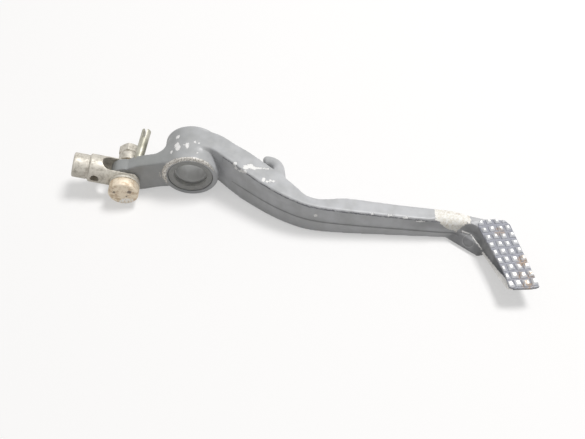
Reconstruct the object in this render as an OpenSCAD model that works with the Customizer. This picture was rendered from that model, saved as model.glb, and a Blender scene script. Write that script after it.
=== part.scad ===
// Rear brake pedal: a cast lever that turns on a bush, with a serrated toe pad,
// and a turned clevis fork that pulls on the master cylinder's push rod.
// Millimetres. X points forward, -Y outboard, +Z up. The origin is the middle of the pivot bore.

/* [Pivot hub] */
// Bore of the pivot bush
bush_bore_d = 15; // [12:0.1:18]
// Wall of the pivot bush
bush_wall = 2.2; // [1.5:0.1:2.6]
// Clearance on the radius, between the pivot shaft and a seal's lip
lip_gap = 0.4; // [0.2:0.05:0.6]
// Section of a dust seal, from its lip to its outside
seal_section = 3.2; // [3:0.1:4.5]
// Wall of the hub round the seals
hub_wall = 2.6; // [2:0.1:4]
// Width of the hub between its two faces
hub_w = 21.8; // [19:0.2:26]
// Chamfer round each hub face
hub_chamfer = 0.7; // [0.3:0.1:1.2]
// Width of a dust seal
seal_w = 3; // [2.4:0.1:4]
// Depth of the seal below the hub face
seal_recess = 0.3; // [0.2:0.1:1.2]
// Width of the dish turned into the outer face of a seal
seal_dish_w = 1.4; // [0.8:0.1:1.6]

/* [Arm] */
// Height of the underside of the arm below the pivot
arm_bottom = 12.8; // [11.5:0.1:14]
// Thickness of the straight outer arm
arm_t = 8.2; // [6.5:0.1:9]
// Thickness of the arm where it cranks outward
crank_t = 10.6; // [9:0.1:12]
// Distance forward of the pivot at which the crank starts
crank_start = 17; // [15:0.5:20]
// Length of the crank, along the pedal
crank_run = 57; // [50:0.5:64]
// Depth of the arm's root behind the hub's outboard face
arm_inset = 2.4; // [1.5:0.1:4]
// Distance that the outer arm stands outboard of the hub's middle
arm_offset = 34.8; // [31:0.2:38]
// Height of the parting ledge above the underside of the arm
ledge_h = 5.2; // [3.5:0.1:7]
// Depth of the parting ledge
ledge_step = 0.6; // [0.2:0.05:0.8]
// Chamfer along the top edges of the arm
edge_chamfer = 0.8; // [0.4:0.1:1.2]

/* [Tail] */
// Thickness of the tail tongue
tail_t = 7; // [6:0.1:8]
// Distance from the hub's middle plane to the middle of the tongue
tail_offset = 5.9; // [4:0.1:6.5]
// Wall of the eye round the clevis pin
eye_wall = 3.8; // [3:0.1:4.6]

/* [Clevis pin place] */
// Distance of the clevis pin behind the pivot
pin_back = 32.6; // [31:0.1:36]
// Distance of the clevis pin below the pivot
pin_drop = 4.3; // [2:0.1:6]

/* [Spring hook] */
// Diameter of the hook finger
hook_d = 5.8; // [4.5:0.1:7]
// Radius of the hook's bend, to the middle of the finger
hook_bend_r = 6; // [4.5:0.1:7]
// Distance of the hook's shank forward of the pivot
hook_x = 43.5; // [41:0.5:47]
// Distance of the hook's bend outboard of the hub's middle plane
hook_y = 10; // [8:0.5:13]
// Height of the hook above the pivot
hook_z = 3.6; // [1:0.1:4]
// Angle that the hook turns through
hook_turn = 96; // [70:1:110]

/* [Toe pad] */
// Width of the pad at the arm
pad_w = 15; // [13:0.1:18]
// Width of the pad at its outer end
pad_tip_w = 13.4; // [11:0.1:15]
// Length of the pad
pad_l = 40; // [34:0.5:46]
// Angle that the pad is splayed forward
pad_splay = 14.4; // [8:0.2:20]
// Angle that the pad's ends are turned back towards the pedal's length
pad_end_turn = 12; // [0:1:16]
// Angle that the rows of teeth are turned back
row_turn = 7; // [0:1:12]
// Distance of the middle of the pad's arm end forward of the pivot
pad_x = 144.7; // [142:0.1:150]
// Height of the pad face above the pivot
pad_z = -0.1; // [-2:0.1:2]
// Height of the teeth
tooth_h = 1.5; // [0.8:0.1:2]
// Rows of teeth along the pad
tooth_rows = 9; // [6:1:12]
// Columns of teeth across the pad
tooth_columns = 4; // [3:1:5]
// Thickness of the pad at its outer end, under the teeth
pad_tip_t = 1.2; // [1:0.1:4]
// Depth of the hollow in the pad's flanks
flank_hollow = 0.8; // [0.3:0.1:1.5]
// Height of the rim left under the hollow
flank_rim = 1.1; // [0.6:0.1:2]

/* [Spring post] */
// Diameter of the slotted spring post
post_d = 4.6; // [3.6:0.1:5]
// Length of the post outside the tail
post_l = 17.4; // [12:0.2:22]
// Depth of the post in the tail
post_seat = 4; // [3:0.1:5]
// Width of the slot in the post
post_slot_w = 1.5; // [1:0.1:2.2]
// Depth of the slot in the post
post_slot_l = 5.4; // [4:0.2:12]
// Space between the post and the fork's ears as they turn
swing_gap = 0.3; // [0.3:0.1:1]

/* [Clevis fork] */
// Diameter of the fork's barrel
fork_d = 14; // [13:0.1:14.6]
// Diameter of the fork's neck
fork_neck_d = 12.2; // [11:0.1:12.8]
// Length of the neck
fork_neck_l = 7.6; // [5:0.1:9]
// Distance from the clevis pin to the end of the neck
fork_l = 26.2; // [25:0.1:32]
// Distance from the clevis pin to the bottom of the slot
fork_slot_l = 12.3; // [11:0.1:13]
// Clearance on each side of the tongue
fork_side_gap = 0.25; // [0.1:0.05:0.4]
// Distance from the clevis pin to the witness hole
witness_reach = 14.9; // [14.8:0.1:16]
// Diameter of the witness hole
witness_d = 4.2; // [3:0.1:4.4]
// Diameter of the tapped hole for the push rod
rod_hole_d = 6.8; // [5:0.1:7]
// Angle that the fork points upward
fork_angle = 15.7; // [0:0.1:25]
// Depth of the flats under the pin's head and the spacer
fork_flat = 0.4; // [0.2:0.05:0.6]

/* [Clevis pin] */
// Diameter of the pin's shank
pin_d = 8; // [6:0.1:8.4]
// Running clearance on the radius, between the shank and the tongue
pin_gap = 0.05; // [0.02:0.01:0.08]
// Diameter of the pin's threaded end
thread_d = 6; // [5:0.1:6]
// Diameter of the pin's head
head_d = 14.8; // [12:0.1:16]
// Thickness of the pin's head
head_t = 5.6; // [2.5:0.1:7]
// Height of the dome on the head
head_dome = 0.5; // [0.2:0.1:0.8]
// Length of thread past the nut
thread_end = 1; // [0.5:0.1:2]
// Outer diameter of the washer under the head
washer_d = 15; // [12:0.1:16]
// Thickness of the washer
washer_t = 1.4; // [0.8:0.1:1.8]

/* [Spacer and nut] */
// Outer diameter of the spacer
spacer_d = 10.3; // [9.5:0.1:11]
// Length of the spacer
spacer_l = 4.8; // [3:0.1:6]
// Width of the nut across its flats
nut_af = 10; // [9:0.1:11]
// Thickness of the nut
nut_t = 5; // [4:0.1:6]

/* [Hidden] */
$fn = 64;

// Small clearance on the radius of pressed and fixed parts
fit_gap = 0.02;
// Overlap that joins the parts of one casting
bite = 0.5;
cut = 1;

bush_d = bush_bore_d + 2 * bush_wall;
seal_bore_d = bush_bore_d + 2 * lip_gap;
seal_d = seal_bore_d + 2 * seal_section;
hub_r = seal_d / 2 + hub_wall;
near_face = -hub_w / 2;
far_face = hub_w / 2;
seal_seat = seal_recess + seal_w;
bush_l = hub_w - 2 * seal_seat;
pin_x = -pin_back;
pin_z = -pin_drop;
tail_y = -tail_offset;
tail_far = tail_y + tail_t / 2;
tail_near = tail_y - tail_t / 2;
slot_w = tail_t + 2 * fork_side_gap;
seat_y = fork_d / 2 - fork_flat;
head_y = -seat_y - washer_t;
nut_y = seat_y + spacer_l;
pin_end = nut_y + nut_t + thread_end;
shank_end = seat_y + spacer_l / 2;
pad_y = 0.7 - arm_offset;
pad_base = pad_z - tooth_h;
eye_r = pin_d / 2 + eye_wall;
post_reach = (fork_d + post_d) / 2 + swing_gap;
post_bearing = 47.5;
post_forward = 8.9;
post_rise = 10;

// Point on a smooth curve through b and c, with a and d as their outer neighbours
function spline(a, b, c, d, t) =
    0.5 * ((2 * b) + (c - a) * t + (2 * a - 5 * b + 4 * c - d) * t * t
           + (3 * b - a - 3 * c + d) * t * t * t);

// Smooth curve through a list of points, with n steps between neighbours
function smooth(p, n = 4) =
    let (last = len(p) - 1)
    concat([for (i = [0 : last - 1], k = [0 : n - 1])
                spline(p[max(i - 1, 0)], p[i], p[i + 1], p[min(i + 2, last)], k / n)],
           [p[last]]);

// Points of a curve moved along Y
function shifted(p, dy) = [for (q = p) [q[0], q[1] + dy]];

// Points in the opposite order
function backward(p) = [for (i = [len(p) - 1 : -1 : 0]) p[i]];

// Plan of the arm. The outboard side leaves the hub, cranks outward and then runs almost straight.
// Each point of the crank is a share of its run and of its offset.
arm_end_x = pad_x - 6;
root_y = near_face + arm_inset;
crank_out = arm_offset + root_y;
outer_drift = 2.7;
outboard_side = smooth(concat(
    [[-2, root_y + 5.4], [8, root_y + 5]],
    [for (p = [[-0.09, -0.15], [-0.042, -0.075], [0, -0.005], [0.07, 0.11], [0.21, 0.34], [0.386, 0.605],
               [0.561, 0.81], [0.737, 0.94], [1, 1]])
        [crank_start + p[0] * crank_run, root_y - p[1] * crank_out]],
    [for (u = [0.4, 0.78, 1])
        [crank_start + crank_run + u * (arm_end_x - crank_start - crank_run),
         -arm_offset - u * outer_drift]]));

// Thickness of the arm at shares of the crank's run, and along the straight part
function side_point(x, t) = [x, lookup(x, outboard_side) + t];
inboard_side = smooth(concat(
    [[-2, far_face - 1.4], [hub_r / 2, far_face - 2.6]],
    [for (p = [[-0.04, 1.18], [0.09, 1.27], [0.21, 1.4], [0.386, 1.35], [0.526, 1.16],
               [0.62, 0.91], [0.69, 0.67], [0.79, 0.6], [0.9, 0.7]])
        side_point(crank_start + p[0] * crank_run, p[1] * crank_t)],
    [side_point(crank_start + 1.05 * crank_run, arm_t + 0.8)],
    [side_point(arm_end_x - 40, arm_t + 0.3), side_point(arm_end_x - 15, arm_t)],
    [side_point(arm_end_x - 7, arm_t - 1.4), side_point(arm_end_x, 4)]));

// Elevation of the arm: the top line falls from the hub to the pad, over the underside
top_line = smooth([for (p = [[-0.015, 0], [0.03, 0], [0.086, 0.045], [0.143, 0.125], [0.2, 0.235],
                             [0.258, 0.325], [0.323, 0.405], [0.373, 0.47], [0.43, 0.545],
                             [0.538, 0.64], [0.66, 0.76], [0.79, 0.885], [0.897, 0.963], [1, 1]])
    [p[0] * arm_end_x, hub_r - 0.1 - p[1] * (hub_r - 0.1 - pad_base)]]);
bottom_line = smooth([
    [-2, 4 - arm_bottom], [10, 3.8 - arm_bottom], [14, 2.8 - arm_bottom],
    [21, 0.8 - arm_bottom], [29, -arm_bottom], [60, -arm_bottom],
    [100, -arm_bottom], [arm_end_x, -arm_bottom]]);
ledge_start = crank_start - 3;
parting_line = smooth([
    [ledge_start, ledge_h + 5 - arm_bottom], [22, ledge_h + 4.4 - arm_bottom],
    [30, ledge_h + 4 - arm_bottom], [45, ledge_h + 3.4 - arm_bottom],
    [60, ledge_h + 2.6 - arm_bottom], [75, ledge_h + 1.6 - arm_bottom],
    [90, ledge_h + 0.6 - arm_bottom], [105, ledge_h - 0.3 - arm_bottom],
    [120, ledge_h - 1.2 - arm_bottom], [arm_end_x, ledge_h - 1.2 - arm_bottom]]);

// Share of the ledge's depth reached at x: it fades in where the crank starts
function ledge_share(x) = max(0, min(1, (x - ledge_start) / 14));

// The upper part's outboard side, set back from the ledge
function stepped(p, inset) = [for (q = p) [q[0], q[1] + ledge_step * ledge_share(q[0]) + inset]];

// A solid with one outline seen from above and another seen from the side
module two_views(plan, side) {
    intersection() {
        translate([0, 0, -60]) linear_extrude(120) polygon(plan);
        rotate([90, 0, 0]) translate([0, 0, -60]) linear_extrude(120) polygon(side);
    }
}

// A cylinder along Y from y0 to y1
module bar_y(d, y0, y1) {
    translate([0, y1, 0]) rotate([90, 0, 0]) cylinder(d = d, h = y1 - y0);
}

module arm_layer(inset, drop) {
    two_views(concat(stepped(outboard_side, inset), backward(shifted(inboard_side, -inset))),
              concat(shifted(top_line, -drop), backward(bottom_line)));
}

module arm() {
    // Upper part of the section, stepped in at the parting ledge and chamfered along its top
    arm_layer(0, edge_chamfer);
    arm_layer(0.3 * edge_chamfer, 0.3 * edge_chamfer);
    arm_layer(edge_chamfer, 0);
    // Lower part of the section, at full thickness
    under = [for (q = bottom_line) if (q[0] > ledge_start) q];
    two_views(concat(outboard_side, backward(inboard_side)),
              concat(parting_line, backward(under)));
}

module hub() {
    rotate([90, 0, 0]) rotate_extrude()
        polygon([[0, near_face], [hub_r - hub_chamfer, near_face],
                 [hub_r, near_face + hub_chamfer], [hub_r, far_face - hub_chamfer],
                 [hub_r - hub_chamfer, far_face], [0, far_face]]);
}

// The tongue seen from the side: it leaves the hub and ends as an eye round the clevis pin
tail_outline = concat(
    smooth([[0, hub_r - 2], [-0.4 * hub_r, 0.88 * hub_r], [-0.72 * hub_r, 0.71 * hub_r],
            [-0.93 * hub_r, 0.63 * hub_r], [pin_x + 17.6, pin_z + eye_r + 4.4],
            [pin_x + 12.6, pin_z + eye_r + 3.4], [pin_x + 7, pin_z + eye_r + 2.2],
            [pin_x + 3, pin_z + eye_r + 0.5]]),
    [for (a = [75 : 10 : 265]) [pin_x + eye_r * cos(a), pin_z + eye_r * sin(a)]],
    smooth([[pin_x + 0.6, pin_z - eye_r], [pin_x + 6.6, pin_z - eye_r - 0.1],
            [pin_x + 12.6, pin_z - eye_r + 1.3], [pin_x + 18.6, pin_z - eye_r + 2.5],
            [0, pin_z - eye_r + 3.1]]));

// The tongue seen from above: its inboard side flares out into the hub
tail_plan = concat(
    [[0, tail_near], [pin_x - eye_r - cut, tail_near], [pin_x - eye_r - cut, tail_far]],
    smooth([[pin_x + eye_r, tail_far], [-1.3 * hub_r, tail_far + 0.1],
            [-1.15 * hub_r, tail_far + 0.7], [-0.98 * hub_r, tail_far + 2.2],
            [-0.885 * hub_r, tail_far + 4.4], [-0.8 * hub_r, tail_far + 8]]),
    [[0, tail_far + 8]]);

module tail() {
    two_views(tail_plan, tail_outline);
}

module spring_hook() {
    // Flared root out of the inboard side of the arm, a round bend, and a blunt end
    root_l = 6;
    translate([hook_x, -hook_y - root_l, hook_z]) rotate([-90, 0, 0])
        cylinder(d1 = hook_d + 1.4, d2 = hook_d + 0.3, h = root_l);
    translate([hook_x - hook_bend_r, -hook_y, hook_z]) {
        rotate_extrude(angle = hook_turn) translate([hook_bend_r, 0]) circle(d = hook_d);
        rotate([0, 0, hook_turn]) translate([hook_bend_r, 0, 0]) rotate([-90, 0, 0])
            cylinder(d1 = hook_d - 0.1, d2 = hook_d - 2.4, h = 1.2);
    }
}

// Places its children in the pad's own frame: +X across the pad, -Y along it
module at_pad() {
    translate([pad_x, pad_y, 0]) rotate([0, 0, pad_splay]) children();
}

// The pad's outline: sides that draw in towards the tip, and ends that are turned back
pad_round = 4.2;
function turned(p) = [p[0], p[1] - p[0] * tan(pad_end_turn)];
pad_outline = concat(
    [for (a = [0 : 12 : 180]) turned([pad_w / 2 * cos(a), -4 + pad_round * sin(a)])],
    [for (a = [180 : 20 : 360]) turned([pad_tip_w / 2 * cos(a), 1 - pad_l + 1.2 * sin(a)])]);

// The pad from the side: as deep as the arm at its root and thin at its outer end
pad_root = [-6, 1.2 - arm_bottom];
pad_toe = [-pad_l, pad_base - pad_tip_t];

// Hollow in the pad's flanks, between the tooth plate and a rim along the lower edge
module flank_hollows() {
    intersection() {
        translate([0, 0, -30]) linear_extrude(60)
            for (side = [-1, 1]) scale([side, 1])
                polygon([[pad_w / 2 - flank_hollow, 2], [pad_w, 2], [pad_w, 2 - pad_l],
                         [pad_tip_w / 2 - flank_hollow, 2 - pad_l]]);
        rotate([90, 0, 90]) translate([0, 0, -30]) linear_extrude(60)
            polygon([[2, pad_base - 0.2], [5 - pad_l, pad_base - 0.2],
                     [5 - pad_l, pad_base - pad_tip_t - 0.6], pad_root + [0, flank_rim],
                     [2, flank_rim - arm_bottom + 0.6]]);
    }
}

module pad_body() {
    at_pad() difference() {
        intersection() {
            translate([0, 0, -30]) linear_extrude(60) polygon(pad_outline);
            rotate([90, 0, 90]) translate([0, 0, -30]) linear_extrude(60)
                polygon([[5, pad_base + 0.01], [-pad_l - 5, pad_base + 0.01],
                         [-pad_l - 5, pad_base - pad_tip_t], pad_toe, pad_root,
                         [-3, -arm_bottom], [5, -arm_bottom]]);
        }
        flank_hollows();
    }
}

// One ridge of teeth, as a saw profile that runs across or along the pad
module ridges(count, pitch, start) {
    polygon(concat(
        [[start, -bite]],
        [for (i = [0 : count - 1], p = [[0.08, 0], [0.38, tooth_h], [0.62, tooth_h], [0.92, 0]])
            [start + (i + p[0]) * pitch, p[1]]],
        [[start + count * pitch, -bite]]));
}

module pad_teeth() {
    row_pitch = pad_l / tooth_rows;
    column_pitch = pad_w / tooth_columns;
    at_pad() translate([0, 0, pad_base]) intersection() {
        translate([0, 0, -bite]) linear_extrude(10) polygon(pad_outline);
        rotate([90, 0, 90 - row_turn]) translate([0, 0, -30]) linear_extrude(60)
            ridges(tooth_rows, row_pitch, 1 - pad_l);
        translate([0, 30, 0]) rotate([90, 0, 0]) linear_extrude(90)
            ridges(tooth_columns, column_pitch, -pad_w / 2);
    }
}

module neck_web() {
    // Lug under the neck: it slopes from the parting ledge out to a wide foot
    translate([0, 0, -arm_bottom]) hull() {
        linear_extrude(1)
            polygon(concat(
                smooth([[arm_end_x - 15, pad_y - 2.4], [arm_end_x - 11.5, pad_y - 4],
                        [arm_end_x - 6.5, pad_y - 8.8], [arm_end_x - 2, pad_y - 12.6],
                        [arm_end_x + 1, pad_y - 13.4], [arm_end_x + 5, pad_y - 12]], 3),
                [[arm_end_x + 8, pad_y - 6], [arm_end_x + 2, pad_y + 0.4]]));
        linear_extrude(ledge_h)
            polygon([[arm_end_x - 10, pad_y - 2.6], [arm_end_x - 3.4, pad_y - 4],
                     [arm_end_x - 0.6, pad_y - 6.4], [arm_end_x + 1, pad_y - 9.6],
                     [arm_end_x + 2.2, pad_y - 12.4], [arm_end_x + 6, pad_y - 11],
                     [arm_end_x + 3, pad_y]]);
    }
}

module neck() {
    // Neck from the arm's end into the pad, with a hollow corner on its outboard side
    translate([0, 0, -arm_bottom]) linear_extrude(arm_bottom + pad_base)
        polygon(concat(
            smooth([[arm_end_x - 8, pad_y - 2.5], [arm_end_x - 3, pad_y - 2.9],
                    [arm_end_x - 0.6, pad_y - 4.6], [arm_end_x + 0.9, pad_y - 8],
                    [arm_end_x + 2, pad_y - 12]]),
            [[arm_end_x + 6, pad_y - 12]],
            smooth([[arm_end_x + 6, pad_y - 1], [arm_end_x + 3, pad_y + 0.3],
                    [arm_end_x - 1, pad_y + 1.4], [arm_end_x - 8, pad_y + 3]])));
}

module pedal_casting() color("#6f7680") {
    difference() {
        union() {
            arm();
            hub();
            tail();
            spring_hook();
            neck();
            neck_web();
            pad_body();
            pad_teeth();
        }
        // Bore for the bush and a seat for each seal
        bar_y(bush_d, near_face - cut, far_face + cut);
        bar_y(seal_d, near_face - cut, near_face + seal_seat);
        bar_y(seal_d, far_face - seal_seat, far_face + cut);
        // Eye for the clevis pin
        translate([pin_x, 0, pin_z])
            bar_y(pin_d + 2 * pin_gap, tail_near - cut, tail_far + cut);
        // Hole for the spring post
        at_post() cylinder(d = post_d, h = 2 * post_seat, center = true);
    }
}

module pivot_bush() color("#8d8c86") {
    rotate([90, 0, 0]) rotate_extrude()
        polygon([[bush_bore_d / 2, -bush_l / 2], [bush_d / 2 - fit_gap, -bush_l / 2],
                 [bush_d / 2 - fit_gap, bush_l / 2], [bush_bore_d / 2, bush_l / 2]]);
}

// A seal with its dished face towards +Z and its back on z = 0
module dust_seal() {
    outer = seal_d / 2 - fit_gap;
    lip = seal_bore_d / 2;
    dish = lip + 0.9;
    rotate_extrude()
        polygon([[lip, 0.8], [lip + 0.5, 0], [outer, 0], [outer, seal_w - 0.5],
                 [outer - 0.4, seal_w], [dish + seal_dish_w, seal_w],
                 [dish + seal_dish_w - 0.3, seal_w - 0.3], [dish, seal_w - 0.3],
                 [lip + 0.4, seal_w - 0.1], [lip, seal_w - 0.5]]);
}

module outer_dust_seal() color("#2d2e2e") {
    translate([0, near_face + seal_seat, 0]) rotate([90, 0, 0]) dust_seal();
}

module inner_dust_seal() color("#2d2e2e") {
    translate([0, far_face - seal_seat, 0]) rotate([-90, 0, 0]) dust_seal();
}

// Places its children on the post's axis, with z = 0 at the tail's inboard side
module at_post() {
    translate([pin_x + post_reach * cos(post_bearing), tail_far,
               pin_z + post_reach * sin(post_bearing)])
        rotate([post_rise - 90, 0, -post_forward]) children();
}

module spring_post() color("#77756a") {
    at_post() difference() {
        union() {
            translate([0, 0, -post_seat]) cylinder(d = post_d - 2 * fit_gap, h = post_seat);
            cylinder(d = post_d - 2 * fit_gap, h = post_l - 0.5);
            translate([0, 0, post_l - 0.5])
                cylinder(d1 = post_d - 2 * fit_gap, d2 = post_d - 1, h = 0.5);
        }
        translate([-post_slot_w / 2, -post_d, post_l - post_slot_l])
            cube([post_slot_w, 2 * post_d, post_slot_l + cut]);
    }
}

// Places its children with +X along the fork, away from the pin, and Y along the pin
module at_fork() {
    translate([pin_x, tail_y, pin_z]) rotate([0, 180 + fork_angle, 0]) children();
}

module fork_barrel() {
    ear_r = fork_d / 2;
    neck_start = fork_l - fork_neck_l;
    groove = 0.6;
    rotate([0, 90, 0]) rotate_extrude()
        polygon([[0, -ear_r], [ear_r, -ear_r], [ear_r, neck_start - groove],
                 [fork_neck_d / 2 - groove / 2, neck_start],
                 [fork_neck_d / 2 - groove / 2, neck_start + 0.4],
                 [fork_neck_d / 2, neck_start + groove + 0.2],
                 [fork_neck_d / 2, fork_l - 0.5], [fork_neck_d / 2 - 0.5, fork_l],
                 [0, fork_l]]);
}

module clevis_fork() color("#8f8982") {
    ear_r = fork_d / 2;
    at_fork() difference() {
        intersection() {
            fork_barrel();
            // Round ends on the two ears
            union() {
                bar_y(fork_d, -ear_r, ear_r);
                translate([0, -ear_r, -ear_r]) cube([fork_l + cut, fork_d, fork_d]);
            }
        }
        // Slot with a round bottom
        translate([-fork_d, -slot_w / 2, -fork_d])
            cube([fork_d + fork_slot_l - slot_w / 2, slot_w, 2 * fork_d]);
        translate([fork_slot_l - slot_w / 2, 0, -fork_d])
            cylinder(d = slot_w, h = 2 * fork_d);
        // Pin holes and the flats round them
        bar_y(pin_d + 2 * fit_gap, -fork_d, fork_d);
        bar_y(washer_d + 0.6, -fork_d, -seat_y);
        bar_y(washer_d + 0.6, seat_y, fork_d);
        // Witness hole, and the tapped hole that runs into it
        translate([witness_reach, 0, 0]) bar_y(witness_d, -fork_d, fork_d);
        translate([witness_reach, 0, 0]) rotate([0, 90, 0])
            cylinder(d = rod_hole_d, h = fork_l);
        translate([fork_l - 0.6, 0, 0]) rotate([0, 90, 0])
            cylinder(d1 = rod_hole_d, d2 = rod_hole_d + 1.4, h = 0.7);
    }
}

// Places its children with +Z along the pin, towards the nut
module at_pin() {
    translate([pin_x, tail_y, pin_z]) rotate([-90, 0, 0]) children();
}

module clevis_pin() color("#a08a62") {
    dome_r = (head_d * head_d / 4 + head_dome * head_dome) / (2 * head_dome);
    rim = head_y - head_t + head_dome;
    at_pin() rotate_extrude()
        polygon(concat(
            [for (k = [0 : 6])
                let (x = (head_d / 2 - 0.5) * k / 6)
                [x, rim + dome_r - head_dome - sqrt(dome_r * dome_r - x * x)]],
            [[head_d / 2, rim + 0.6], [head_d / 2, head_y - 0.4], [head_d / 2 - 0.4, head_y],
             [pin_d / 2, head_y], [pin_d / 2, shank_end - 0.4], [thread_d / 2, shank_end],
             [thread_d / 2, pin_end - 0.6], [thread_d / 2 - 0.6, pin_end], [0, pin_end]]));
}

module pin_washer() color("#9c9585") {
    at_pin() translate([0, 0, head_y]) difference() {
        cylinder(d = washer_d, h = washer_t);
        translate([0, 0, -cut]) cylinder(d = pin_d + 2 * fit_gap, h = washer_t + 2 * cut);
    }
}

module pin_spacer() color("#948d82") {
    at_pin() translate([0, 0, seat_y]) difference() {
        cylinder(d = spacer_d, h = spacer_l);
        translate([0, 0, -cut])
            cylinder(d = pin_d + 2 * fit_gap, h = spacer_l / 2 + fit_gap + cut);
        translate([0, 0, -cut]) cylinder(d = thread_d + 0.2, h = spacer_l + 2 * cut);
    }
}

module pin_nut() color("#8b8780") {
    corner_d = nut_af / cos(30);
    at_pin() translate([0, 0, nut_y]) difference() {
        intersection() {
            cylinder(d = corner_d, h = nut_t, $fn = 6);
            // Chamfered corners
            rotate_extrude() polygon([[0, 0], [nut_af / 2, 0], [corner_d / 2, 0.45],
                                      [corner_d / 2, nut_t - 0.45], [nut_af / 2, nut_t],
                                      [0, nut_t]]);
        }
        translate([0, 0, -cut]) cylinder(d = thread_d + 2 * fit_gap, h = nut_t + 2 * cut);
    }
}

pedal_casting();
pivot_bush();
outer_dust_seal();
inner_dust_seal();
spring_post();
clevis_fork();
clevis_pin();
pin_washer();
pin_spacer();
pin_nut();
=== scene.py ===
# %% [markdown]
# # A rear brake pedal, dressed for its portrait
# The solids of the pedal come from the CAD model and never move. This notebook gives them what a
# CAD kernel leaves out: the soft edges of a casting, a thread, worn paint, dust and light.
# Everything is in metres, in the CAD model's own frame: X forward, -Y outboard, +Z up, with the
# middle of the pivot bore at the origin. Sizes are written in millimetres and multiplied by MM.

# %% Load the frame
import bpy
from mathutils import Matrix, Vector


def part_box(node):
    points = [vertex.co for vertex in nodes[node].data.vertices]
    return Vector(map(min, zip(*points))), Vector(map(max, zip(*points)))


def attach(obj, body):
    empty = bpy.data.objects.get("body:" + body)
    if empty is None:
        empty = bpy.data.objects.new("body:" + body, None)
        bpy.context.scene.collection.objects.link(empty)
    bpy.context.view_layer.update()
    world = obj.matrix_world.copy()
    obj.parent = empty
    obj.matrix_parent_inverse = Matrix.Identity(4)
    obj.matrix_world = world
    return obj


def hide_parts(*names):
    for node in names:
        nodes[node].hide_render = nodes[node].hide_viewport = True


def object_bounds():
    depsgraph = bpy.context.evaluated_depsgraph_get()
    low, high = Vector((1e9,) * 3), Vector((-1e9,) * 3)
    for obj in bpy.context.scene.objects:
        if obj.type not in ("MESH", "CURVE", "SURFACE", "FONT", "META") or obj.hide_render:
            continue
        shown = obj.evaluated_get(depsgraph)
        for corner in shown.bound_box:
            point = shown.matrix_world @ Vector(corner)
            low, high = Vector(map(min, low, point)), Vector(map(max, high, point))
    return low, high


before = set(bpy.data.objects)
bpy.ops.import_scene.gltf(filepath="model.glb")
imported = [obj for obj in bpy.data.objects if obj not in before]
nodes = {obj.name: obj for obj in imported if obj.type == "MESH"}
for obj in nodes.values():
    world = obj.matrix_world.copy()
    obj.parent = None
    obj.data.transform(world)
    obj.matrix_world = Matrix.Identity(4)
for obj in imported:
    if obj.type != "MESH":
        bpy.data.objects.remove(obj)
cad_box = [list(corner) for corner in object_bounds()]

import bpy
import bmesh
import numpy as np
from math import radians, cos, sin, pi
from mathutils import Matrix, Vector

MM = 0.001
print("CAD nodes:", sorted(nodes))
print("CAD box in mm:", [[round(v / MM, 1) for v in corner] for corner in cad_box])

# %% [markdown]
# ## Sizes taken from the solids
# A box per node is enough to find the pin's axis and the faces of the hub, so no number is
# copied by hand where a box can give it.

# %% Measure the solids
def node_box(name):
    """Lowest and highest corner of a CAD node, in millimetres."""
    low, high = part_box(name)
    return np.array(low) / MM, np.array(high) / MM


def axis_distance(points, x=0.0, z=0.0):
    """Distance of each point from an axis along Y that passes through x and z: the root of the
    squares of the two offsets."""
    return np.hypot(points[:, 0] - x, points[:, 2] - z)


pin_low, pin_high = node_box("clevis_pin")
pin_x, pin_z = (pin_low[[0, 2]] + pin_high[[0, 2]]) / 2
bush_high = node_box("pivot_bush")[1]
seal_low, seal_high = node_box("outer_dust_seal")
cast_high = node_box("pedal_casting")[1]
hub_half = -seal_low[1] + 0.3
seal_r = seal_high[2]
print("clevis pin axis at x, z =", round(pin_x, 2), round(pin_z, 2))
print("hub half width", round(hub_half, 2), "seal radius", round(seal_r, 2))

# %% [markdown]
# ## Helpers that turn arrays into meshes
# A surface is a grid of points, worked out as whole arrays. The quads between neighbours on the
# grid are arrays too. Coincident points at a pole or a seam are merged, and the normals are turned
# outwards once the shape is closed.

# %% Mesh helpers
def grid_faces(rows, cols, wrap_rows=False, wrap_cols=False):
    """Quads between neighbours of a rows x cols grid. A wrapped side joins its last line to its
    first."""
    r = np.arange(rows if wrap_rows else rows - 1)
    c = np.arange(cols if wrap_cols else cols - 1)
    r, c = np.meshgrid(r, c, indexing="ij")
    r2, c2 = (r + 1) % rows, (c + 1) % cols
    return np.stack([r * cols + c, r2 * cols + c, r2 * cols + c2, r * cols + c2], -1).reshape(-1, 4)


def merge_and_face_out(mesh, distance=1e-7):
    """Merges coincident points, then turns every face of the closed shape outwards."""
    shape = bmesh.new()
    shape.from_mesh(mesh)
    bmesh.ops.remove_doubles(shape, verts=shape.verts, dist=distance)
    bmesh.ops.recalc_face_normals(shape, faces=shape.faces)
    shape.to_mesh(mesh)
    shape.free()


def make_piece(name, points, faces, body, sharp_angle=40):
    """Object from points in millimetres, riding on a body, shaded smooth up to sharp_angle."""
    mesh = bpy.data.meshes.new(name)
    mesh.from_pydata((np.asarray(points) * MM).tolist(), [], np.asarray(faces).tolist())
    merge_and_face_out(mesh)
    mesh.shade_smooth()
    mesh.set_sharp_from_angle(angle=radians(sharp_angle))
    piece = bpy.data.objects.new(name, mesh)
    bpy.context.scene.collection.objects.link(piece)
    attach(piece, body)
    print(f"{name}: {len(mesh.vertices)} points, {len(mesh.polygons)} faces")
    return piece


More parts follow.
